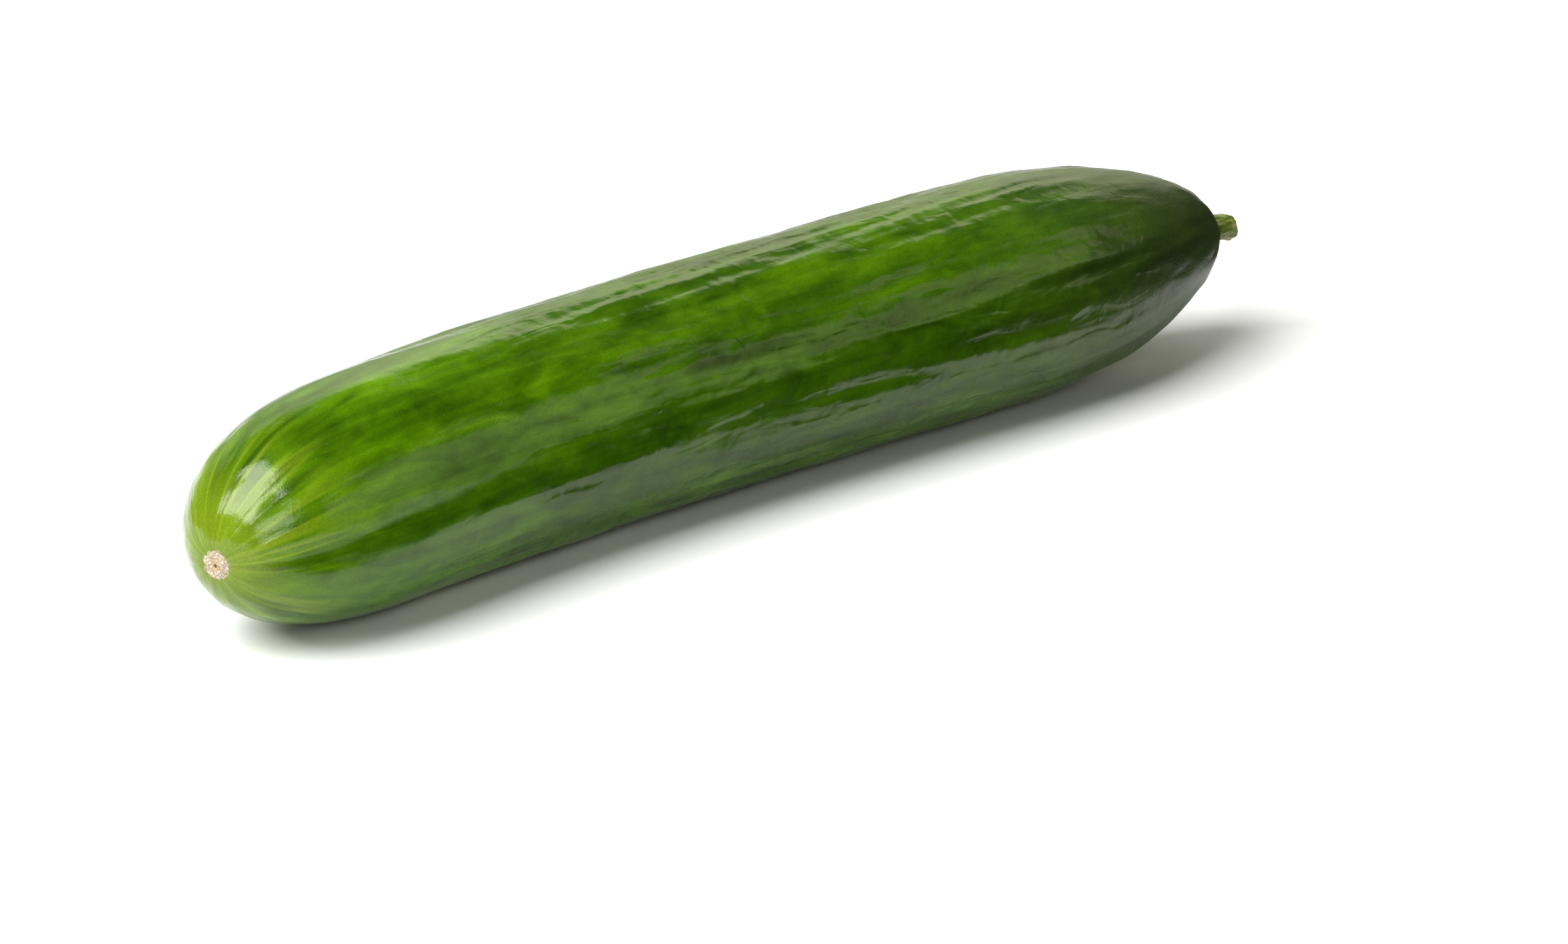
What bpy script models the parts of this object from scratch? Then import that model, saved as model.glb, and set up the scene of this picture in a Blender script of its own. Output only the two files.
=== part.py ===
"""A whole greenhouse cucumber lying on its side: the fruit and the cut stub of its stem.

Metres, +Z up. X runs along the fruit from the blossom end (-X) to the stem end (+X), the bend bulges towards
+Y, and the origin is on the resting plane under the centre of the bounding box.
"""

import math

import bmesh
import bpy
from mathutils import Matrix, Vector

MM = 0.001

# Fruit: overall size, and the shares of its radius by which it tapers and swells
FRUIT_LENGTH = 300 * MM
FRUIT_RADIUS = 25.1 * MM
STEM_END_FULLER = 0.048
MIDDLE_SWELL = 0.024

# Fruit: rounded ends, each a length over which it closes, a power, higher for a blunter end, and a root
BLOSSOM_CAP = 51.5 * MM
BLOSSOM_POWER = 3.0
BLOSSOM_ROOT = 0.5
STEM_CAP = 74 * MM
STEM_POWER = 2.0
STEM_ROOT = 0.58

# Fruit: how its spine bends sideways, how far the middle hangs below the ends, and how the tip turns down
BEND = 8.4 * MM
BEND_SKEW = -7.4 * MM
SAG = 1.0 * MM
TIP_TURN = math.radians(4.5)
TIP_TURN_LENGTH = 30 * MM

# Fruit: shallow ribs along it and the three faint lobes of its section
RIB_COUNT = 10
RIB_HEIGHT = 0.25 * MM
LOBE_COUNT = 3
LOBE_HEIGHT = 0.2 * MM
RIB_START = 25 * MM
RIB_FULL = 90 * MM

# Fruit: the three places where it is flat
REST_DEPTH = 0.35 * MM
SCAR_RADIUS = 3.3 * MM
STEM_SEAT_RADIUS = 4.6 * MM

# Stem: a five-angled stub, flared where it meets the fruit, and its gap to the fruit's skin
STEM_RADIUS = 2.8 * MM
STEM_LENGTH = 9.0 * MM
STEM_ANGLES = 5
STEM_RIDGE = 0.11
STEM_FLARE = 0.30
STEM_END_SWELL = 0.10
STEM_SEAT_DROP = 0.4 * MM
STEM_DROOP = 1.2 * MM
STEM_GAP = 0.3 * MM

# Mesh fineness
FRUIT_SIDES = 50
FRUIT_RINGS = 48
STEM_SIDES = 30
STEM_RINGS = 9

FRUIT_GREEN = (0.075, 0.19, 0.012, 1)
STEM_GREEN = (0.13, 0.20, 0.02, 1)


def clear_scene():
    for old in list(bpy.data.objects):
        bpy.data.objects.remove(old)


def new_collection(name):
    made = bpy.data.collections.new(name)
    bpy.context.scene.collection.children.link(made)
    return made


def skin_material(name, colour, roughness):
    material = bpy.data.materials.new(name)
    material.use_nodes = True
    shader = material.node_tree.nodes["Principled BSDF"]
    shader.inputs["Base Color"].default_value = colour
    shader.inputs["Roughness"].default_value = roughness
    shader.inputs["Metallic"].default_value = 0.0
    return material


def smoothstep(value, start, end):
    t = min(max((value - start) / (end - start), 0.0), 1.0)
    return t * t * (3 - 2 * t)


def barrel_radius(w):
    """Radius of the fruit without its rounded ends. w runs from -1 at the blossom end to 1 at the stem end."""
    return FRUIT_RADIUS * (1 + STEM_END_FULLER * w + MIDDLE_SWELL * (0.4 - w * w))


def cap_share(distance, length, power, root):
    """Share of the full radius at a distance from the tip of a rounded end."""
    t = min(max(1 - distance / length, 0.0), 1.0)
    return (1 - t**power) ** root


def fruit_radius(w):
    from_blossom = (1 + w) * FRUIT_LENGTH / 2
    from_stem = (1 - w) * FRUIT_LENGTH / 2
    blossom = cap_share(from_blossom, BLOSSOM_CAP, BLOSSOM_POWER, BLOSSOM_ROOT)
    stem = cap_share(from_stem, STEM_CAP, STEM_POWER, STEM_ROOT)
    return barrel_radius(w) * blossom * stem


def spine_point(w):
    """Centre of the section at w, before the tip's turn."""
    y = BEND * (1 - w * w) + BEND_SKEW * (w - w**3)
    z = barrel_radius(w) - REST_DEPTH + SAG * w * w
    return Vector((w * FRUIT_LENGTH / 2, y, z))


def tip_turn(w):
    """Turns the blossom end down about a point on the spine behind it, which leaves its outline round."""
    from_blossom = (1 + w) * FRUIT_LENGTH / 2
    angle = TIP_TURN * (1 - smoothstep(from_blossom, 0, TIP_TURN_LENGTH))
    pivot = spine_point(-1 + 2 * TIP_TURN_LENGTH / FRUIT_LENGTH)
    move = Matrix.Translation(pivot)
    return move @ Matrix.Rotation(-angle, 4, "Y") @ move.inverted()


def section_frame(w):
    """Matrix whose X is the spine's direction at w, its Y level and its origin the section's centre."""
    step = 0.001
    ahead = spine_point(w + step) - spine_point(w - step)
    along = Vector((ahead.x, ahead.y, 0)).normalized()
    side = Vector((-along.y, along.x, 0))
    frame = Matrix((along, side, (0, 0, 1))).transposed().to_4x4()
    frame.translation = spine_point(w)
    return tip_turn(w) @ frame


def skin_relief(w, angle):
    """Height of the ribs and lobes above the round section. They fade out on the smooth blossom end."""
    from_blossom = (1 + w) * FRUIT_LENGTH / 2
    ribs = RIB_HEIGHT * math.cos(RIB_COUNT * angle) * smoothstep(from_blossom, RIB_START, RIB_FULL)
    return ribs + LOBE_HEIGHT * math.cos(LOBE_COUNT * angle)


def make_fruit_skin(collection):
    """A sphere whose rings are moved out to the fruit's sections, one by one."""
    bm = bmesh.new()
    bmesh.ops.create_uvsphere(bm, u_segments=FRUIT_SIDES, v_segments=FRUIT_RINGS, radius=1)
    for vertex in bm.verts:
        w = min(max(vertex.co.z, -1.0), 1.0)
        angle = math.atan2(vertex.co.y, vertex.co.x)
        radius = fruit_radius(w)
        radius += skin_relief(w, angle) * radius / FRUIT_RADIUS
        level = radius * math.cos(angle)
        rise = radius * math.sin(angle)
        vertex.co = section_frame(w) @ Vector((0, level, rise))
    mesh = bpy.data.meshes.new("fruit")
    bm.to_mesh(mesh)
    bm.free()
    mesh.shade_smooth()
    fruit = bpy.data.objects.new("fruit", mesh)
    fruit.data.materials.append(skin_material("fruit_skin", FRUIT_GREEN, 0.3))
    collection.objects.link(fruit)
    return fruit


def place_where_radius(radius, from_w, to_w):
    """w at which the fruit's section has this radius, between an end and the middle."""
    for _ in range(60):
        middle = (from_w + to_w) / 2
        if fruit_radius(middle) < radius:
            from_w = middle
        else:
            to_w = middle
    return from_w


def cut_flat(body, name, matrix, collection):
    """Takes away what lies beyond the matrix's origin along its +Z."""
    side = FRUIT_LENGTH * 2
    bm = bmesh.new()
    bmesh.ops.create_cube(bm, size=side, matrix=Matrix.Translation((0, 0, side / 2)))
    mesh = bpy.data.meshes.new(name)
    bm.to_mesh(mesh)
    bm.free()
    cutter = bpy.data.objects.new(name, mesh)
    cutter.matrix_world = matrix
    cutter.hide_render = True
    cutter.display_type = "WIRE"
    collection.objects.link(cutter)
    boolean = body.modifiers.new(name, "BOOLEAN")
    boolean.operation = "DIFFERENCE"
    boolean.object = cutter
    return cutter


def stem_swell(t):
    """Radius of the stem as a multiple of its usual one, t from 0 at the fruit to 1 at the cut."""
    return 1 + STEM_FLARE * (1 - t) ** 6 + STEM_END_SWELL * t**4


def stem_ring(bm, seat, t):
    """One five-angled section of the stem, at the share t of its length. The stem droops a little."""
    ring = []
    for i in range(STEM_SIDES):
        angle = 2 * math.pi * i / STEM_SIDES
        radius = STEM_RADIUS * stem_swell(t) * (1 + STEM_RIDGE * math.cos(STEM_ANGLES * angle))
        across = STEM_SEAT_DROP + STEM_DROOP * t * t + radius * math.cos(angle)
        place = Vector((across, radius * math.sin(angle), STEM_GAP + STEM_LENGTH * t))
        ring.append(bm.verts.new(seat @ place))
    return ring


def make_stem(collection, seat):
    """The stub of the stem, ring by ring from just clear of its seat to its cut end."""
    bm = bmesh.new()
    rings = [stem_ring(bm, seat, i / (STEM_RINGS - 1)) for i in range(STEM_RINGS)]
    for ring, following in zip(rings, rings[1:]):
        for i in range(STEM_SIDES):
            j = (i + 1) % STEM_SIDES
            bm.faces.new((ring[i], ring[j], following[j], following[i]))
    bm.faces.new(rings[0])
    bm.faces.new(rings[-1])
    bmesh.ops.recalc_face_normals(bm, faces=bm.faces)
    mesh = bpy.data.meshes.new("stem")
    bm.to_mesh(mesh)
    bm.free()
    mesh.shade_smooth()
    stem = bpy.data.objects.new("stem", mesh)
    stem.data.materials.append(skin_material("stem_skin", STEM_GREEN, 0.5))
    collection.objects.link(stem)
    return stem


def seat_matrix(w, outward):
    """Matrix at the section w whose Z points out of that end of the fruit."""
    quarter = math.pi / 2 if outward > 0 else -math.pi / 2
    return section_frame(w) @ Matrix.Rotation(quarter, 4, "Y")


def bounds_of(objects):
    bpy.context.view_layer.update()
    graph = bpy.context.evaluated_depsgraph_get()
    corners = []
    for item in objects:
        shown = item.evaluated_get(graph)
        mesh = shown.to_mesh()
        corners += [shown.matrix_world @ vertex.co for vertex in mesh.vertices]
        shown.to_mesh_clear()
    low = Vector([min(corner[i] for corner in corners) for i in range(3)])
    high = Vector([max(corner[i] for corner in corners) for i in range(3)])
    return low, high


def main():
    clear_scene()
    cucumber = new_collection("cucumber")
    helpers = new_collection("cutters")
    fruit = make_fruit_skin(cucumber)

    scar_w = place_where_radius(SCAR_RADIUS, -1.0, 0.0)
    seat_w = place_where_radius(STEM_SEAT_RADIUS, 1.0, 0.0)
    floor = Matrix.Rotation(math.pi, 4, "X")
    seat = seat_matrix(seat_w, 1)
    cutters = [
        cut_flat(fruit, "rest_cutter", floor, helpers),
        cut_flat(fruit, "scar_cutter", seat_matrix(scar_w, -1), helpers),
        cut_flat(fruit, "stem_seat_cutter", seat, helpers),
    ]
    stem = make_stem(cucumber, seat)

    low, high = bounds_of([fruit, stem])
    centre = bpy.data.objects.new("centre", None)
    cucumber.objects.link(centre)
    centre.location = (-(low.x + high.x) / 2, -(low.y + high.y) / 2, 0)
    for item in [fruit, stem, *cutters]:
        item.parent = centre


main()
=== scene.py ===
"""Looks of a whole greenhouse cucumber that lies on a pale floor: its skin, its blossom scar and its stem."""

import math

import bmesh
import bpy
from mathutils import Matrix, Vector


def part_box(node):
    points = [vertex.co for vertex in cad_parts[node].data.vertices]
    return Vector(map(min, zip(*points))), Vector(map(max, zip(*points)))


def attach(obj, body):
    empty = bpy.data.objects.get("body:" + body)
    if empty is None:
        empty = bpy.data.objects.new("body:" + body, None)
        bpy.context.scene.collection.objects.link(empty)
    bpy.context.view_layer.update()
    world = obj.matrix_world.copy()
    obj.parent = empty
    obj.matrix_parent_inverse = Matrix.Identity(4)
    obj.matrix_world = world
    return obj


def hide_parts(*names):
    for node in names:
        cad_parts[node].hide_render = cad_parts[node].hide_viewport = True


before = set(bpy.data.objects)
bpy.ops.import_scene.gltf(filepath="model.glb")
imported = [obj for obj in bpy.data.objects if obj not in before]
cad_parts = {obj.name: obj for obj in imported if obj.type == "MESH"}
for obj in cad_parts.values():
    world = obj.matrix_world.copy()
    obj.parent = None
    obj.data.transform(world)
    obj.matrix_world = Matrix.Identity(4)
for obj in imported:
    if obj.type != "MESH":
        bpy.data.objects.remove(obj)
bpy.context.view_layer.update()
MM = 0.001

# ---- The fruit -------------------------------------------------------------------------------------------
# One body of firm, watery flesh under a thin waxy skin, grown as one piece. It is blunt and round at the
# blossom end, thickest two thirds of the way along, tapers into a neck where the stem held it, and bends a
# little to one side. Shallow ribs run from end to end, and the skin between them is gently puckered.

FRUIT_LENGTH = 300 * MM
FRUIT_RADIUS = 25.1 * MM
STEM_END_FULLER = 0.048
MIDDLE_SWELL = 0.024
BLOSSOM_CAP = 51.5 * MM
STEM_CAP = 74 * MM
BEND = 8.4 * MM
BEND_SKEW = -7.4 * MM
SAG = 1.0 * MM
REST_DEPTH = 0.35 * MM
TIP_TURN = math.radians(4.5)
TIP_TURN_LENGTH = 30 * MM
FRUIT_SIDES = 40
FRUIT_RINGS = 144
ROUNDING = 1.004  # makes good what the subdivision takes off a forty-sided section
# Ribs: how high each stands above the skin in mm, by the side of the forty that it runs along
RIB_HEIGHTS = {
    0: 0.30, 4: 0.22, 7: 0.34, 11: 0.26, 15: 0.20, 18: 0.30, 22: 0.24, 26: 0.32, 30: 0.22, 33: 0.30, 37: 0.20
}
RIB_PASSES = ((-0.90, 0.96), (-0.78, 0.88), (-0.62, 0.78))
DIMPLE_DEPTH = 0.55 * MM
DIMPLE_RIM = 0.25 * MM
TIP_OVERHANG = 0.2 * MM  # how far the skin's blossom end stands past the frame's
FLAT_BELOW = 0.02 * MM


def smoothstep(value, start, end):
    t = min(max((value - start) / (end - start), 0.0), 1.0)
    return t * t * (3 - 2 * t)


def cap_share(distance, length, power, root):
    t = min(max(1 - distance / length, 0.0), 1.0)
    return (1 - t**power) ** root


def barrel_radius(w):
    return FRUIT_RADIUS * (1 + STEM_END_FULLER * w + MIDDLE_SWELL * (0.4 - w * w))


def fruit_radius(w):
    """Radius of the fruit at w, which runs from -1 at the blossom end to 1 at the stem end."""
    blossom = cap_share((1 + w) * FRUIT_LENGTH / 2, BLOSSOM_CAP, 3.0, 0.5)
    neck = cap_share((1 - w) * FRUIT_LENGTH / 2, STEM_CAP, 2.0, 0.58)
    return barrel_radius(w) * blossom * neck


def spine_point(w):
    y = BEND * (1 - w * w) + BEND_SKEW * (w - w**3)
    z = barrel_radius(w) - REST_DEPTH + SAG * w * w
    return Vector((w * FRUIT_LENGTH / 2, y, z))


def spine_heading(w):
    ahead = spine_point(w + 0.001) - spine_point(w - 0.001)
    return math.atan2(ahead.y, ahead.x)


def tip_angle(w):
    return TIP_TURN * (1 - smoothstep((1 + w) * FRUIT_LENGTH / 2, 0, TIP_TURN_LENGTH))


TIP_PIVOT = spine_point(-1 + 2 * TIP_TURN_LENGTH / FRUIT_LENGTH)


def only_select(vertices):
    """Selects these vertices of the mesh in edit mode and nothing else."""
    bpy.ops.mesh.select_all(action="DESELECT")
    for vertex in vertices:
        vertex.select = True
    bm.select_flush_mode()


def apply_modifiers(piece, rulers):
    """Applies the piece's modifiers in turn, and takes away the rulers that sized their noise."""
    bpy.context.view_layer.update()
    bpy.ops.object.select_all(action="DESELECT")
    piece.select_set(True)
    bpy.context.view_layer.objects.active = piece
    for modifier in list(piece.modifiers):
        bpy.ops.object.modifier_apply(modifier=modifier.name)
    for ruler in rulers:
        bpy.data.objects.remove(ruler)


def round_off(piece):
    rounding = piece.modifiers.new("rounding", "SUBSURF")
    rounding.levels = 2
    rounding.render_levels = 2


bpy.ops.object.select_all(action="DESELECT")
bpy.ops.mesh.primitive_uv_sphere_add(
    segments=FRUIT_SIDES, ring_count=FRUIT_RINGS, radius=1, rotation=(0, math.pi / 2, 0)
)
fruit = bpy.context.object
fruit.name = "fruit_skin"
bpy.ops.object.transform_apply(rotation=True)

# Each ring of the sphere is sized, carried out to its section of the fruit and turned to face along the spine
bpy.ops.object.mode_set(mode="EDIT")
bm = bmesh.from_edit_mesh(fruit.data)
bpy.context.tool_settings.mesh_select_mode = (True, False, False)
rings = {}
sides = {}
for vertex in bm.verts:
    rings.setdefault(round(vertex.co.x, 5), []).append(vertex)
    turn = math.atan2(vertex.co.z, vertex.co.y) / (2 * math.pi) % 1
    sides.setdefault(round(turn * FRUIT_SIDES) % FRUIT_SIDES, []).append(vertex)
stations = sorted(rings)
for w in stations:
    only_select(rings[w])
    if len(rings[w]) > 1:
        size = fruit_radius(w) * ROUNDING / math.sqrt(1 - w * w)
        bpy.ops.transform.resize(value=(1, size, size), center_override=(w, 0, 0))
    place = spine_point(w)
    bpy.ops.transform.translate(value=place - Vector((w, 0, 0)))
    bpy.ops.transform.rotate(value=-spine_heading(w), orient_axis="Z", center_override=place)
    if tip_angle(w) > 0:
        bpy.ops.transform.rotate(value=tip_angle(w), orient_axis="Y", center_override=TIP_PIVOT)

# The ribs: a row of vertices from end to end is fattened in three passes, each shorter than the last
for side, height in RIB_HEIGHTS.items():
    for start, end in RIB_PASSES:
        only_select([v for v in sides[side] if start < v.co.x / (FRUIT_LENGTH / 2) < end])
        bpy.ops.transform.shrink_fatten(value=height * MM / len(RIB_PASSES))

# The blossom scar sits in a shallow dimple
only_select([v for w in stations[:4] for v in rings[w]])
bpy.ops.transform.translate(value=(DIMPLE_DEPTH, 0, 0))
only_select(rings[stations[3]])
bpy.ops.transform.translate(value=(-DIMPLE_RIM, 0, 0))
bpy.ops.object.mode_set(mode="OBJECT")

bpy.ops.object.shade_smooth()
round_off(fruit)


def pucker(piece, name, size, height, depth=2, kind="CLOUDS", where=""):
    """Raises and lowers the skin by soft noise whose lumps have this size along X, Y and Z."""
    bpy.ops.object.empty_add()
    ruler = bpy.context.object
    ruler.name = name + "_ruler"
    ruler.scale = size
    noise = bpy.data.textures.new(name, kind)
    noise.noise_scale = 1.0
    if kind == "CLOUDS":
        noise.noise_depth = depth
    relief = piece.modifiers.new(name, "DISPLACE")
    relief.texture = noise
    relief.texture_coords = "OBJECT"
    relief.texture_coords_object = ruler
    relief.mid_level = 0.5
    relief.strength = height
    relief.vertex_group = where
    return ruler


# Smooth at the blossom end, fully ridged from a third of the way along, and calmer again at the neck
puckered = fruit.vertex_groups.new(name="puckered")
for vertex in fruit.data.vertices:
    from_tip = vertex.co.x + FRUIT_LENGTH / 2
    share = 0.25 + 0.75 * smoothstep(from_tip, 35 * MM, 115 * MM)
    share *= 1 - 0.60 * smoothstep(from_tip, 225 * MM, 275 * MM)
    puckered.add([vertex.index], share, "REPLACE")
rulers = [
    pucker(fruit, "long_folds", (55 * MM, 5 * MM, 5 * MM), 0.7 * MM, where="puckered"),
    pucker(fruit, "broad_lumps", (20 * MM, 12 * MM, 12 * MM), 0.45 * MM, depth=1),
    pucker(fruit, "wavy_ridges", (34 * MM, 3.0 * MM, 3.0 * MM), 0.95 * MM, depth=0, where="puckered"),
    pucker(fruit, "puckers", (9 * MM, 5 * MM, 5 * MM), 0.40 * MM, depth=2, where="puckered"),
]
apply_modifiers(fruit, rulers)

# The whole is set where the frame's fruit lies, and its underside is pressed flat on the resting plane
fruit_low, fruit_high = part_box("fruit")
corners = [v.co for v in fruit.data.vertices]
low = Vector([min(c[i] for c in corners) for i in range(3)])
high = Vector([max(c[i] for c in corners) for i in range(3)])
set_down = Vector((fruit_low.x - low.x - TIP_OVERHANG, (fruit_low.y + fruit_high.y - low.y - high.y) / 2, 0))
bpy.ops.object.mode_set(mode="EDIT")
bm = bmesh.from_edit_mesh(fruit.data)
bpy.ops.mesh.select_all(action="SELECT")
bpy.ops.transform.translate(value=set_down)
only_select([v for v in bm.verts if v.co.z < FLAT_BELOW])
bpy.ops.transform.resize(value=(1, 1, 0), center_override=(0, 0, FLAT_BELOW))
bpy.ops.object.mode_set(mode="OBJECT")


def add_node(tree, kind, inputs=None, **settings):
    """A node of this kind with its settings, and with each input a value or another node's output."""
    made = tree.nodes.new("ShaderNode" + kind)
    for name, value in settings.items():
        setattr(made, name, value)
    for name, value in (inputs or {}).items():
        if isinstance(value, bpy.types.NodeSocket):
            tree.links.new(value, made.inputs[name])
        else:
            made.inputs[name].default_value = value
    return made


def ramp(tree, value, *stops):
    """A colour ramp read at a value. Each stop is a place and a colour."""
    made = add_node(tree, "ValToRGB", {"Fac": value})
    band = made.color_ramp
    while len(band.elements) < len(stops):
        band.elements.new(0.5)
    for element, (place, colour) in zip(band.elements, stops):
        element.position = place
        element.color = colour
    return made.outputs["Color"]


def sums(tree, operation, *values):
    """A Math node on values or sockets."""
    made = add_node(tree, "Math", dict(enumerate(values)), operation=operation)
    return made.outputs[0]


def between(tree, value, low, high, to_low=0.0, to_high=1.0):
    """The value, carried smoothly from one range to another and held at its ends."""
    made = add_node(
        tree,
        "MapRange",
        {"Value": value, "From Min": low, "From Max": high, "To Min": to_low, "To Max": to_high},
        interpolation_type="SMOOTHSTEP",
    )
    return made.outputs["Result"]


def blend(tree, amount, first, second, how="MIX"):
    made = add_node(tree, "Mix", data_type="RGBA", blend_type=how)
    for socket, value in ((0, amount), (6, first), (7, second)):
        if isinstance(value, bpy.types.NodeSocket):
            tree.links.new(value, made.inputs[socket])
        else:
            made.inputs[socket].default_value = value
    return made.outputs[2]


def raised(tree, height, depth, under=None):
    """A Bump node's normal: a height that varies over the surface, raised this deep, over another normal."""
    inputs = {"Height": height, "Strength": 1.0, "Distance": depth}
    if under is not None:
        inputs["Normal"] = under
    return add_node(tree, "Bump", inputs).outputs["Normal"]


def new_group(name, inputs, outputs):
    """An empty shader node group with named inputs, each with its usual value, and named outputs."""
    group = bpy.data.node_groups.new(name, "ShaderNodeTree")
    for label, kind, value in inputs:
        socket = group.interface.new_socket(label, in_out="INPUT", socket_type=kind)
        if value is not None:
            socket.default_value = value
    for label, kind in outputs:
        group.interface.new_socket(label, in_out="OUTPUT", socket_type=kind)
    return group, group.nodes.new("NodeGroupInput").outputs, group.nodes.new("NodeGroupOutput").inputs


def lengthwise_streaks_group():
    """Soft streaks along X, as fibres and ribs colour a plant's skin, and how strongly they waver."""
    group, given, result = new_group(
        "lengthwise_streaks",
        [
            ("Place", "NodeSocketVector", None),
            ("Length", "NodeSocketFloat", 50 * MM),
            ("Width", "NodeSocketFloat", 6 * MM),
            ("Waver", "NodeSocketFloat", 0.4),
            ("Detail", "NodeSocketFloat", 3.0),
        ],
        [("Streaks", "NodeSocketFloat")],
    )
    split = add_node(group, "SeparateXYZ", {"Vector": given["Place"]}).outputs
    x = sums(group, "DIVIDE", split["X"], given["Length"])
    y = sums(group, "DIVIDE", split["Y"], given["Width"])
    z = sums(group, "DIVIDE", split["Z"], given["Width"])
    stretched = add_node(group, "CombineXYZ", {"X": x, "Y": y, "Z": z}).outputs["Vector"]
    noise = add_node(
        group,
        "TexNoise",
        {"Vector": stretched, "Scale": 1.0, "Detail": given["Detail"], "Distortion": given["Waver"]},
    )
    group.links.new(noise.outputs["Fac"], result["Streaks"])
    return group


def fine_grain_group():
    """The grain of a plant's surface: tiny cells, and softer blotches a few times their size."""
    group, given, result = new_group(
        "fine_grain",
        [("Place", "NodeSocketVector", None), ("Size", "NodeSocketFloat", 0.4 * MM)],
        [("Grain", "NodeSocketFloat"), ("Blotches", "NodeSocketFloat")],
    )
    scaled = add_node(group, "VectorMath", {0: given["Place"]}, operation="SCALE")
    group.links.new(sums(group, "DIVIDE", 1.0, given["Size"]), scaled.inputs["Scale"])
    fine = add_node(group, "TexNoise", {"Vector": scaled.outputs[0], "Scale": 1.0, "Detail": 2.0})
    soft = add_node(group, "TexNoise", {"Vector": scaled.outputs[0], "Scale": 0.12, "Detail": 2.0})
    group.links.new(fine.outputs["Fac"], result["Grain"])
    group.links.new(soft.outputs["Fac"], result["Blotches"])
    return group


STREAKS = lengthwise_streaks_group()
GRAIN = fine_grain_group()


def use_group(tree, group, **inputs):
    made = tree.nodes.new("ShaderNodeGroup")
    made.node_tree = group
    for name, value in inputs.items():
        if isinstance(value, bpy.types.NodeSocket):
            tree.links.new(value, made.inputs[name])
        else:
            made.inputs[name].default_value = value
    return made.outputs


def fruit_skin_material():
    """Waxy green skin, mottled in soft patches, yellower at the blossom end, with painted shade and a painted
    grey sheen at the neck.
    """
    skin = bpy.data.materials.new("fruit_skin")
    skin.use_nodes = True
    tree = skin.node_tree
    shader = tree.nodes["Principled BSDF"]
    here = add_node(tree, "TexCoord").outputs
    along = add_node(tree, "SeparateXYZ", {"Vector": here["Object"]}).outputs["X"]
    around = add_node(tree, "SeparateXYZ", {"Vector": here["UV"]}).outputs["X"]
    turn = sums(tree, "MULTIPLY", around, 2 * math.pi)
    sideways = sums(tree, "MULTIPLY", sums(tree, "COSINE", turn), FRUIT_RADIUS)
    upwards = sums(tree, "MULTIPLY", sums(tree, "SINE", turn), FRUIT_RADIUS)
    rolled = add_node(tree, "CombineXYZ", {"X": along, "Y": sideways, "Z": upwards}).outputs["Vector"]

    # Green: soft mottled patches, narrower streaks over them, and a fine grain
    patches = use_group(tree, STREAKS, Place=rolled, Length=20 * MM, Width=7 * MM, Waver=0.8)["Streaks"]
    streaks = use_group(tree, STREAKS, Place=rolled, Length=60 * MM, Width=4.5 * MM, Waver=0.5)["Streaks"]
    lumps = use_group(tree, STREAKS, Place=rolled, Length=7 * MM, Width=5 * MM, Waver=0.6)["Streaks"]
    grain = use_group(tree, GRAIN, Place=here["Object"], Size=0.35 * MM)
    mixed = sums(tree, "ADD", sums(tree, "MULTIPLY", patches, 0.48), sums(tree, "MULTIPLY", streaks, 0.38))
    mixed = sums(tree, "ADD", mixed, sums(tree, "MULTIPLY", lumps, 0.20))
    green = ramp(
        tree,
        mixed,
        (0.38, (0.013, 0.040, 0.0004, 1)),
        (0.50, (0.030, 0.085, 0.0004, 1)),
        (0.62, (0.055, 0.138, 0.0005, 1)),
        (0.76, (0.092, 0.205, 0.0010, 1)),
    )
    # Blossom end: yellower, with pale lines that run out from the scar
    tip = fruit_low.x
    blunt_end = between(tree, along, tip + 120 * MM, tip + 25 * MM)
    near_tip = between(tree, along, tip + 40 * MM, tip + 4 * MM)
    at_scar = between(tree, along, tip + 12 * MM, tip)
    lines_noise = use_group(tree, STREAKS, Place=rolled, Length=160 * MM, Width=13 * MM, Waver=0.0)["Streaks"]
    off_line = sums(tree, "ABSOLUTE", sums(tree, "SUBTRACT", lines_noise, 0.5))
    line = between(tree, off_line, 0.035, 0.0)
    line = sums(tree, "MULTIPLY", line, between(tree, along, tip + 29 * MM, tip + 4 * MM))
    green = blend(tree, blunt_end, green, (1.40, 1.38, 1.0, 1), "MULTIPLY")
    green = blend(tree, near_tip, green, (1.20, 1.02, 1.0, 1), "MULTIPLY")
    green = blend(tree, sums(tree, "MULTIPLY", line, 0.55), green, (0.230, 0.320, 0.014, 1))
    green = blend(tree, sums(tree, "MULTIPLY", at_scar, 0.7), green, (0.160, 0.235, 0.010, 1))
    # Neck: darkened as painted shade, and greyed as a painted sheen
    neck_shade_and_sheen = between(tree, along, 30 * MM, 140 * MM)
    green = blend(tree, sums(tree, "MULTIPLY", neck_shade_and_sheen, 0.85), green, (0.026, 0.039, 0.014, 1))
    # Grain and pale pores
    speckle = between(tree, grain["Grain"], 0.3, 0.7, 0.88, 1.12)
    speckle = add_node(tree, "CombineColor", {"Red": speckle, "Green": speckle, "Blue": speckle})
    green = blend(tree, 1.0, green, speckle.outputs["Color"], "MULTIPLY")
    pores = add_node(tree, "TexVoronoi", {"Vector": here["Object"], "Scale": 420.0})
    pore = between(tree, pores.outputs["Distance"], 0.13, 0.05)
    green = blend(tree, sums(tree, "MULTIPLY", pore, 0.12), green, (0.20, 0.28, 0.07, 1))
    tree.links.new(green, shader.inputs["Base Color"])

    # Wax: glossiest at the blossom end, duller along the body, in the blotches and at the neck
    dull = between(tree, along, tip + 30 * MM, tip + 130 * MM, 0.12, 0.21)
    dull = sums(tree, "ADD", dull, between(tree, along, 80 * MM, 145 * MM, 0.0, 0.12))
    gloss = sums(tree, "ADD", dull, sums(tree, "MULTIPLY", grain["Blotches"], 0.06))
    tree.links.new(gloss, shader.inputs["Roughness"])
    shader.inputs["IOR"].default_value = 1.45
    shader.inputs["Specular Tint"].default_value = (1.0, 1.0, 0.86, 1)
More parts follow.
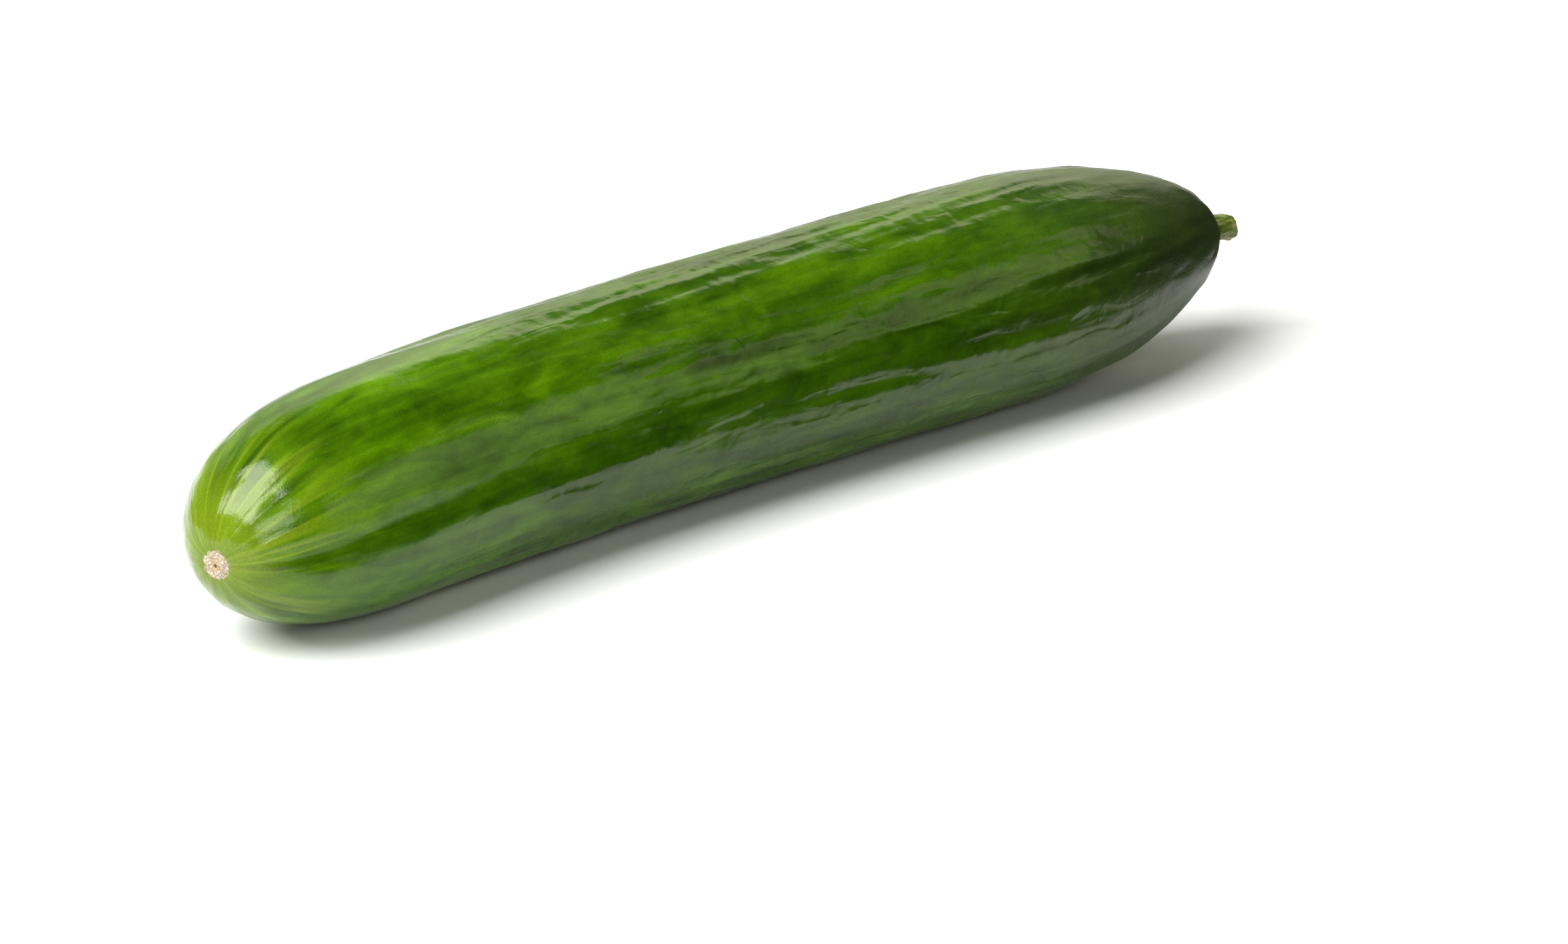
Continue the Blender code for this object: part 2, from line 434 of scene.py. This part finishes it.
    # Relief too fine for the mesh: grain, leather, soft pillows and ridges, gentle at both ends, and the
    # gathers that run into the scar
    ridges = use_group(tree, STREAKS, Place=rolled, Length=15 * MM, Width=3.8 * MM, Waver=0.9, Detail=0.8)
    pillows = use_group(tree, STREAKS, Place=rolled, Length=5 * MM, Width=6 * MM, Waver=0.6, Detail=1.2)
    wrinkled = between(tree, along, tip + 30 * MM, tip + 110 * MM, 0.15, 1.0)
    wrinkled = sums(tree, "MULTIPLY", wrinkled, between(tree, along, 135 * MM, 55 * MM, 0.06, 1.0))
    leather = use_group(tree, GRAIN, Place=here["Object"], Size=0.9 * MM)["Grain"]
    leather = sums(tree, "MULTIPLY", leather, between(tree, along, 60 * MM, 130 * MM, 0.3, 1.0))
    pillows = sums(tree, "MULTIPLY", pillows["Streaks"], wrinkled)
    ridges = sums(tree, "MULTIPLY", ridges["Streaks"], wrinkled)
    gathers = sums(tree, "MULTIPLY", lines_noise, between(tree, along, tip + 36 * MM, tip + 8 * MM))
    normal = raised(tree, grain["Grain"], 0.020 * MM)
    normal = raised(tree, leather, 0.07 * MM, normal)
    normal = raised(tree, pillows, 0.40 * MM, normal)
    normal = raised(tree, ridges, 0.45 * MM, normal)
    normal = raised(tree, gathers, 0.60 * MM, normal)
    tree.links.new(normal, shader.inputs["Normal"])
    return skin


fruit.data.materials.append(fruit_skin_material())
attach(fruit, "root")
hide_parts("fruit")

# ---- The blossom scar ------------------------------------------------------------------------------------
# Where the flower dropped off, the skin has healed over with a small disc of dry cork. It is cream, cracked
# into little plates, with a pinhole at its middle that is only painted on, as painted shade.

SCAR_RADIUS = 3.55 * MM
SCAR_THICKNESS = 0.45 * MM
SCAR_DEPTH = 0.80 * MM
SCAR_DROP = 0.4 * MM


def section_matrix(w):
    """Place of the fruit's section at w: X points along the spine, and the origin is the section's centre."""
    there = Matrix.Translation(spine_point(w)) @ Matrix.Rotation(spine_heading(w), 4, "Z")
    tip_turn = Matrix.Translation(TIP_PIVOT) @ Matrix.Rotation(-tip_angle(w), 4, "Y")
    tip_turn = tip_turn @ Matrix.Translation(-TIP_PIVOT)
    return Matrix.Translation(set_down) @ tip_turn @ there


def put(piece, place):
    """Puts the piece where it belongs and writes its place into its mesh."""
    piece.matrix_world = place
    bpy.context.view_layer.update()
    bpy.ops.object.transform_apply(location=True, rotation=True, scale=True)


bpy.ops.object.select_all(action="DESELECT")
bpy.ops.mesh.primitive_uv_sphere_add(segments=96, ring_count=64, radius=SCAR_RADIUS)
scar = bpy.context.object
scar.name = "blossom_scar"
bpy.ops.object.mode_set(mode="EDIT")
bpy.ops.mesh.select_all(action="SELECT")
bpy.ops.transform.resize(value=(1, 1, SCAR_THICKNESS / SCAR_RADIUS))
bpy.ops.object.mode_set(mode="OBJECT")
bpy.ops.object.shade_smooth()
rulers = [
    pucker(scar, "scar_edge", (1.3 * MM, 1.3 * MM, 4 * MM), 0.45 * MM, depth=1),
    pucker(scar, "scar_plates", (0.55 * MM, 0.55 * MM, 0.55 * MM), 0.35 * MM, kind="VORONOI"),
]
apply_modifiers(scar, rulers)
scar_place = section_matrix(-1) @ Matrix.Translation((SCAR_DEPTH, 0, -SCAR_DROP))
scar_place = scar_place @ Matrix.Rotation(-math.pi / 2, 4, "Y")
SCAR_CENTRE = scar_place @ Vector((0, 0, SCAR_THICKNESS))
put(scar, scar_place)


def scar_cork_material():
    """Dry cork in small plates, cream to tan, stained brown round the pinhole and darker at its rim; the
    pinhole itself is painted shade.
    """
    cork = bpy.data.materials.new("scar_cork")
    cork.use_nodes = True
    tree = cork.node_tree
    shader = tree.nodes["Principled BSDF"]
    here = add_node(tree, "TexCoord").outputs["Object"]
    grain = use_group(tree, GRAIN, Place=here, Size=0.25 * MM)
    from_middle = add_node(tree, "VectorMath", {0: here, 1: SCAR_CENTRE}, operation="DISTANCE")
    from_middle = from_middle.outputs["Value"]
    plates = add_node(tree, "TexVoronoi", {"Vector": here, "Scale": 1100.0}, feature="DISTANCE_TO_EDGE")
    crack = between(tree, plates.outputs["Distance"], 0.14, 0.02)
    tint = between(tree, grain["Blotches"], 0.35, 0.65)
    colour = blend(tree, tint, (0.60, 0.53, 0.45, 1), (0.54, 0.44, 0.31, 1))
    colour = blend(tree, sums(tree, "MULTIPLY", crack, 0.45), colour, (0.34, 0.25, 0.15, 1))
    stained = sums(tree, "MULTIPLY", between(tree, from_middle, 1.6 * MM, 0.6 * MM), tint)
    colour = blend(tree, sums(tree, "MULTIPLY", stained, 0.6), colour, (0.62, 0.33, 0.13, 1))
    rim = between(tree, from_middle, 2.9 * MM, 3.3 * MM)
    colour = blend(tree, sums(tree, "MULTIPLY", rim, 0.8), colour, (0.24, 0.20, 0.06, 1))
    # The pinhole is not cut into the mesh: this dark spot at the middle is painted shade
    pinhole_shade = between(tree, from_middle, 0.58 * MM, 0.38 * MM)
    colour = blend(tree, pinhole_shade, colour, (0.11, 0.07, 0.03, 1))
    tree.links.new(colour, shader.inputs["Base Color"])
    shader.inputs["Roughness"].default_value = 0.8
    normal = raised(tree, grain["Grain"], 0.08 * MM)
    sunk = sums(tree, "MULTIPLY", crack, -1.0)
    tree.links.new(raised(tree, sunk, 0.15 * MM, normal), shader.inputs["Normal"])
    return cork


scar.data.materials.append(scar_cork_material())
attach(scar, "root")

# ---- The stem --------------------------------------------------------------------------------------------
# The stub that is left of the stalk the fruit hung by: fibrous, five-angled, flared where it grew out of the
# neck, and cut across with a knife, so that the end has dried to tan.

STEM_RADIUS = 2.8 * MM
STEM_LENGTH = 9.0 * MM
STEM_SEAT_DROP = 0.4 * MM
STEM_DROOP = 1.2 * MM
STEM_FLARE = 0.30
STEM_END_SWELL = 0.10
STEM_ANGLES = 5
STEM_ANGLE_HEIGHT = 0.25 * MM
STEM_ROOT = 0.5 * MM  # how deep the stem starts inside the neck
STEM_SIDES = 40
STEM_STEPS = 14
SEAT_RADIUS = 4.6 * MM  # the neck's radius where the stem sits on it

seat_w = 1.0
while fruit_radius(seat_w) < SEAT_RADIUS:
    seat_w -= 0.0002
seat = section_matrix(seat_w) @ Matrix.Rotation(math.pi / 2, 4, "Y")

bpy.ops.object.select_all(action="DESELECT")
bpy.ops.mesh.primitive_circle_add(vertices=STEM_SIDES, radius=STEM_RADIUS, fill_type="NGON")
stem = bpy.context.object
stem.name = "stem_stub"
bpy.ops.object.mode_set(mode="EDIT")
bm = bmesh.from_edit_mesh(stem.data)
for ridge in range(STEM_ANGLES):
    turn = ridge * 2 * math.pi / STEM_ANGLES
    outwards = Vector((math.cos(turn), math.sin(turn), 0))
    only_select([v for v in bm.verts if v.co.normalized().dot(outwards) > 0.93])
    bpy.ops.transform.translate(value=outwards * STEM_ANGLE_HEIGHT)
bpy.ops.mesh.select_all(action="SELECT")


def stem_swell(t):
    """Thickness of the stem at t, from 0 at its root to 1 at the cut."""
    return 1 + STEM_FLARE * (1 - t) ** 6 + STEM_END_SWELL * t**4


bpy.ops.transform.resize(value=(stem_swell(0), stem_swell(0), 1))
bpy.ops.transform.translate(value=(STEM_SEAT_DROP, 0, -STEM_ROOT))
for step in range(1, STEM_STEPS + 1):
    t, before = step / STEM_STEPS, (step - 1) / STEM_STEPS
    move = (STEM_DROOP * (t * t - before * before), 0, (STEM_LENGTH + STEM_ROOT) / STEM_STEPS)
    bpy.ops.mesh.extrude_region_move(TRANSFORM_OT_translate={"value": move})
    size = stem_swell(t) / stem_swell(before)
    bpy.ops.transform.resize(value=(size, size, 1))
# The cut end: its edge is rounded over, and its pith has shrunk back a little
bpy.ops.mesh.inset(thickness=0.3 * MM)
bpy.ops.mesh.inset(thickness=0.5 * MM)
bpy.ops.transform.translate(value=(0, 0, -0.3 * MM))
bpy.ops.mesh.inset(thickness=1.2 * MM)
bpy.ops.mesh.select_all(action="SELECT")
bpy.ops.mesh.normals_make_consistent(inside=False)
bpy.ops.object.mode_set(mode="OBJECT")
bpy.ops.object.shade_smooth()
round_off(stem)
apply_modifiers(stem, [pucker(stem, "stem_fibres", (0.9 * MM, 0.9 * MM, 4 * MM), 0.35 * MM, depth=2)])
STEM_END = seat @ Vector((STEM_SEAT_DROP + STEM_DROOP, 0, STEM_LENGTH))
put(stem, seat)


def stem_skin_material():
    """Fibrous green bark with dry tan patches, and a tan cut end."""
    bark = bpy.data.materials.new("stem_skin")
    bark.use_nodes = True
    tree = bark.node_tree
    shader = tree.nodes["Principled BSDF"]
    here = add_node(tree, "TexCoord").outputs["Object"]
    fibres = use_group(tree, STREAKS, Place=here, Length=6 * MM, Width=0.8 * MM, Waver=0.3)["Streaks"]
    grain = use_group(tree, GRAIN, Place=here, Size=0.3 * MM)
    colour = ramp(
        tree,
        fibres,
        (0.38, (0.055, 0.100, 0.008, 1)),
        (0.55, (0.130, 0.190, 0.020, 1)),
        (0.70, (0.360, 0.340, 0.120, 1)),
    )
    dry = between(tree, grain["Blotches"], 0.50, 0.62)
    colour = blend(tree, sums(tree, "MULTIPLY", dry, 0.6), colour, (0.42, 0.32, 0.15, 1))
    from_cut = add_node(tree, "VectorMath", {0: here, 1: STEM_END}, operation="DISTANCE").outputs["Value"]
    cut = between(tree, from_cut, 3.4 * MM, 2.8 * MM)
    colour = blend(tree, cut, colour, (0.50, 0.40, 0.22, 1))
    tree.links.new(colour, shader.inputs["Base Color"])
    shader.inputs["Roughness"].default_value = 0.5
    normal = raised(tree, grain["Grain"], 0.06 * MM)
    tree.links.new(raised(tree, fibres, 0.20 * MM, normal), shader.inputs["Normal"])
    return bark


stem.data.materials.append(stem_skin_material())
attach(stem, "root")
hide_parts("stem")

# ---- The studio ------------------------------------------------------------------------------------------
# A pale floor, a large window of light above the blossom end and a low slanted one beside it, two weak fills
# that leave no reflections, a dark card that puts a painted dark reflection and painted shade on the fruit's
# side away from the window, and pale walls round a dim room.

CARD_LENGTH = 0.37
CARD_HEIGHT = 0.08
CARD_LEG = 0.07
CARD_PLACE = Vector((3 * MM, -43 * MM, -6 * MM))
CARD_FOOT = 8 * MM
VIEW_AZIMUTH = math.radians(44.9)
VIEW_ELEVATION = math.radians(19.7)
VIEW_DISTANCE = 1.057
VIEW_LENS = 110.7
FORWARD = Vector((math.sin(math.pi / 2 - VIEW_AZIMUTH), math.cos(math.pi / 2 - VIEW_AZIMUTH), 0))
RIGHT = Vector((FORWARD.y, -FORWARD.x, 0))
LOOK_AT = set_down + Vector((9.83 * MM, 2.04 * MM, 0))

bpy.ops.object.select_all(action="DESELECT")
bpy.ops.mesh.primitive_plane_add(size=12)
floor = bpy.context.object
floor.name = "floor"


def matt_paint(name, colour):
    paint = bpy.data.materials.new(name)
    paint.use_nodes = True
    shader = paint.node_tree.nodes["Principled BSDF"]
    shader.inputs["Base Color"].default_value = colour
    shader.inputs["Specular IOR Level"].default_value = 0.0
    return paint, shader


floor_paint, floor_shader = matt_paint("floor_paint", (0.93, 0.93, 0.93, 1))
floor_shader.inputs["Roughness"].default_value = 0.9
floor.data.materials.append(floor_paint)


def studio_way(azimuth, elevation):
    """Unit vector at an angle to the right of the way the camera looks, and above the horizon."""
    turn, lift = math.radians(azimuth), math.radians(elevation)
    level_way = RIGHT * math.sin(turn) + FORWARD * math.cos(turn)
    return level_way * math.cos(lift) + Vector((0, 0, math.sin(lift)))


def soft_light(name, azimuth, elevation, distance, width, height, radiance, roll=0, glossy=True):
    """A rectangular light that faces the fruit, as bright as a surface of this radiance."""
    data = bpy.data.lights.new(name, "AREA")
    data.shape = "RECTANGLE"
    data.size = width
    data.size_y = height
    data.energy = radiance * math.pi * width * height
    light = bpy.data.objects.new(name, data)
    bpy.context.scene.collection.objects.link(light)
    way = studio_way(azimuth, elevation)
    light.location = LOOK_AT + way * distance
    facing = way.to_track_quat("Z", "Y").to_matrix() @ Matrix.Rotation(math.radians(roll), 3, "Z")
    light.rotation_euler = facing.to_euler()
    light.visible_camera = False
    light.visible_glossy = glossy


soft_light("window", -128, 51, 2.6, 2.15, 1.95, 9.2)
soft_light("low_window", 179, 25, 2.4, 1.35, 0.5, 5.0, roll=38)
soft_light("overhead", 0, 75, 2.6, 2.5, 2.5, 0.8, glossy=False)
soft_light("front_fill", 150, 35, 2.4, 2.0, 2.0, 0.45, glossy=False)

# The dark card stands along the fruit, folds round its stem end, and fades out towards its foot. It is a
# painted dark reflection and painted shade: the camera doesn't see it and it casts no shadow
bpy.ops.mesh.primitive_plane_add(size=1)
card = bpy.context.object
card.name = "shade_and_reflection_card"
card.scale = (CARD_LENGTH, CARD_HEIGHT, 1)
card.rotation_euler = (math.pi / 2, math.radians(-7), math.radians(-2))
card.location = set_down + CARD_PLACE
bpy.ops.object.transform_apply(location=True, rotation=True, scale=True)
bpy.ops.object.mode_set(mode="EDIT")
bm = bmesh.from_edit_mesh(card.data)
only_select([v for v in bm.verts if v.co.x > CARD_LENGTH / 4])
bpy.ops.mesh.extrude_region_move(TRANSFORM_OT_translate={"value": (0, CARD_LEG, 0)})
bpy.ops.object.mode_set(mode="OBJECT")
# Unseen by the camera and without a shadow, the card only darkens the fruit's reflections and bounced light
card.visible_camera = False
card.visible_shadow = False
card.visible_transmission = False
black, black_shader = matt_paint("black_shade_and_reflection_card", (0.015, 0.020, 0.010, 1))
card_point = add_node(black.node_tree, "NewGeometry").outputs["Position"]
card_point = add_node(black.node_tree, "SeparateXYZ", {"Vector": card_point}).outputs
soft_foot = between(black.node_tree, card_point["Z"], 0, CARD_FOOT)
black.node_tree.links.new(soft_foot, black_shader.inputs["Alpha"])
card.data.materials.append(black)

world = bpy.data.worlds.new("studio")
bpy.context.scene.world = world
world.use_nodes = True
sky = world.node_tree
sky_way = add_node(sky, "TexCoord").outputs["Generated"]
sky_up = add_node(sky, "SeparateXYZ", {"Vector": sky_way}).outputs["Z"]
sky_ahead = add_node(sky, "VectorMath", {0: sky_way, 1: FORWARD}, operation="DOT_PRODUCT").outputs["Value"]
sky_aside = add_node(sky, "VectorMath", {0: sky_way, 1: RIGHT}, operation="DOT_PRODUCT").outputs["Value"]
sky_azimuth = sums(sky, "ARCTAN2", sky_aside, sky_ahead)


def pale_wall(left, right, top, softness, radiance):
    """Brightness of a wall between two azimuths, in degrees, up to an elevation. Its top is the brightest."""
    left, right, soft = math.radians(left), math.radians(right), math.radians(softness)
    opens = between(sky, sky_azimuth, left - soft, left + soft)
    closes = between(sky, sky_azimuth, right + soft, right - soft)
    under = between(sky, sky_up, math.sin(math.radians(top + 4)), math.sin(math.radians(top - 4)))
    rising = between(sky, sky_up, 0, math.sin(math.radians(32)), 0.55 * radiance, 1.35 * radiance)
    return sums(sky, "MULTIPLY", sums(sky, "MULTIPLY", opens, closes), sums(sky, "MULTIPLY", under, rising))


# Left, right, top, softness and brightness of each wall: three steps of a backdrop, and one at the side
WALLS = ((-50, 10, 36, 12, 0.25), (-50, 32, 36, 12, 0.43), (-12, 32, 36, 12, 0.50), (75, 134, 34, 3, 0.92))
brightness = 0.02
for wall in WALLS:
    brightness = sums(sky, "ADD", brightness, pale_wall(*wall))
bluish = sums(sky, "MULTIPLY", brightness, 0.70)
warm = add_node(sky, "CombineColor", {"Red": brightness, "Green": brightness, "Blue": bluish})
sky.links.new(warm.outputs["Color"], sky.nodes["Background"].inputs["Color"])

camera_data = bpy.data.cameras.new("camera")
camera_data.sensor_width = 36
camera_data.lens = VIEW_LENS
camera_data.clip_end = 50
camera = bpy.data.objects.new("camera", camera_data)
bpy.context.scene.collection.objects.link(camera)
look = FORWARD * math.cos(VIEW_ELEVATION) - Vector((0, 0, math.sin(VIEW_ELEVATION)))
camera.location = LOOK_AT - look * VIEW_DISTANCE
camera.rotation_euler = look.to_track_quat("-Z", "Y").to_euler()
bpy.context.scene.camera = camera
bpy.context.scene.view_settings.view_transform = "Standard"
